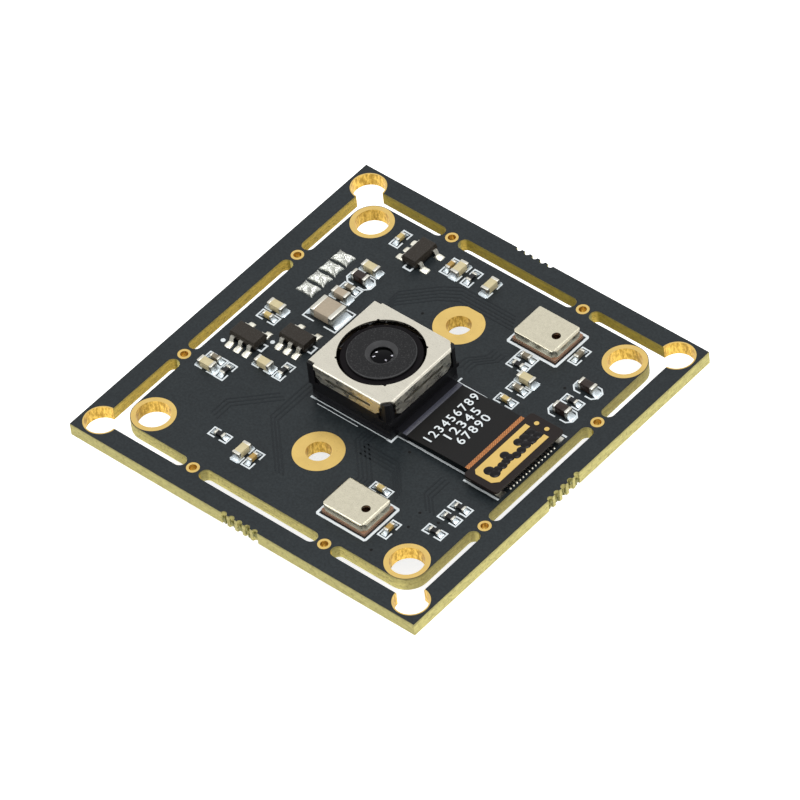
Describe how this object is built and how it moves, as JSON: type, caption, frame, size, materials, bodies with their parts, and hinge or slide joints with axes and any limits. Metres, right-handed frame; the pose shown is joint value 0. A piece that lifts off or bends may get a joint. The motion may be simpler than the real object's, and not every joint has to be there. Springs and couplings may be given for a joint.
{
  "type": "autofocus camera module board",
  "caption": "Square camera board with a voice-coil autofocus camera, flex tail and connector, sound sensors, small parts and a wire connector on its back.",
  "frame": {"origin": "centre of the four mounting holes, on the board's back face", "axes": "+Z out along the lens axis from the board's front, +X along the flex tail towards its connector, +Y to the side with the three-lead end of the upright regulator and the upper microphone"},
  "size_m": [0.038, 0.038, 0.0096],
  "materials": {
    "solder_mask": "satin dark blue-grey mask on glass laminate",
    "gold_plating": "satin gold plating",
    "foam_tape": "matte foam tape",
    "rigid_laminate": "satin dark laminate",
    "silicon": "polished silicon",
    "black_moulding": "matte black moulding",
    "filter_glass": "coated filter glass",
    "cover_steel": "bright nickel-plated sheet",
    "magnet": "nickel-plated magnet",
    "coil_copper": "enamelled copper wire",
    "carrier_moulding": "dark moulding",
    "spring_copper": "bright copper alloy sheet",
    "barrel_moulding": "fine matte black moulding",
    "lens_plastic": "coated lens",
    "black_film": "black light-stop film",
    "flex_film": "matte black cover film",
    "bare_copper": "bare copper band",
    "connector_moulding": "dark liquid-crystal moulding",
    "tin": "tin plating",
    "mic_lid": "satin drawn lid",
    "mic_laminate": "brown laminate edge",
    "chip_moulding": "fine matte moulding",
    "capacitor_ceramic": "fired ceramic",
    "resistor_film": "dark overcoat",
    "ferrite_ceramic": "dark ferrite",
    "solder": "bright solder",
    "connector_nylon": "natural nylon",
    "crystal_can": "seam-welded metal lid"
  },
  "bodies": {
    "root": {"board": "solder_mask", "mounting_hole_plating": "gold_plating", "frame_hole_plating": "gold_plating", "holder_hole_plating": "gold_plating", "tab_via_plating": "gold_plating", "camera_tape": "foam_tape", "camera_substrate": "rigid_laminate", "image_sensor": "silicon", "sensor_holder": "black_moulding", "infrared_filter": "filter_glass", "coil_base": "black_moulding", "steel_cover": "cover_steel", "magnet_front": "magnet", "magnet_rear": "magnet", "magnet_left": "magnet", "magnet_right": "magnet", "upper_spring": "spring_copper", "lower_spring": "spring_copper", "flex_tail": "flex_film", "connector_board": "rigid_laminate", "flex_ground_pad": "gold_plating", "flex_bare_strip": "bare_copper", "plug_housing": "connector_moulding", "plug_contacts": "gold_plating", "socket_housing": "connector_moulding", "socket_contacts": "gold_plating", "socket_fittings": "tin", "mic_lid_upper": "mic_lid", "mic_base_upper": "mic_laminate", "mic_lid_lower": "mic_lid", "mic_base_lower": "mic_laminate", "regulator_1": "chip_moulding", "regulator_2": "chip_moulding", "regulator_3": "chip_moulding", "regulator_leads": "tin", "capacitor_bodies": "capacitor_ceramic", "resistor_bodies": "resistor_film", "ferrite_bodies": "ferrite_ceramic", "large_capacitor_body": "capacitor_ceramic", "passive_ends": "tin", "passive_solder": "solder", "wire_solder_joints": "solder", "wire_housing": "connector_nylon", "wire_pins": "tin", "processor": "chip_moulding", "processor_lands": "tin", "flash_memory": "chip_moulding", "flash_leads": "tin", "crystal": "crystal_can"},
    "lens_group": {"voice_coil": "coil_copper", "lens_carrier": "carrier_moulding", "lens_barrel": "barrel_moulding", "lens_1": "lens_plastic", "lens_2": "lens_plastic", "lens_3": "lens_plastic", "lens_4": "lens_plastic", "lens_5": "lens_plastic", "lens_spacers": "black_film", "retaining_ring": "black_moulding"}
  },
  "joints": [
    {"name": "lens_focus", "type": "slide", "parent": "root", "child": "lens_group", "axis": [0, 0, 1], "range_m": [0, 0.0003], "stiffness_N_per_m": 40, "springref_m": -0.0001, "deforming": ["upper_spring", "lower_spring"]}
  ]
}
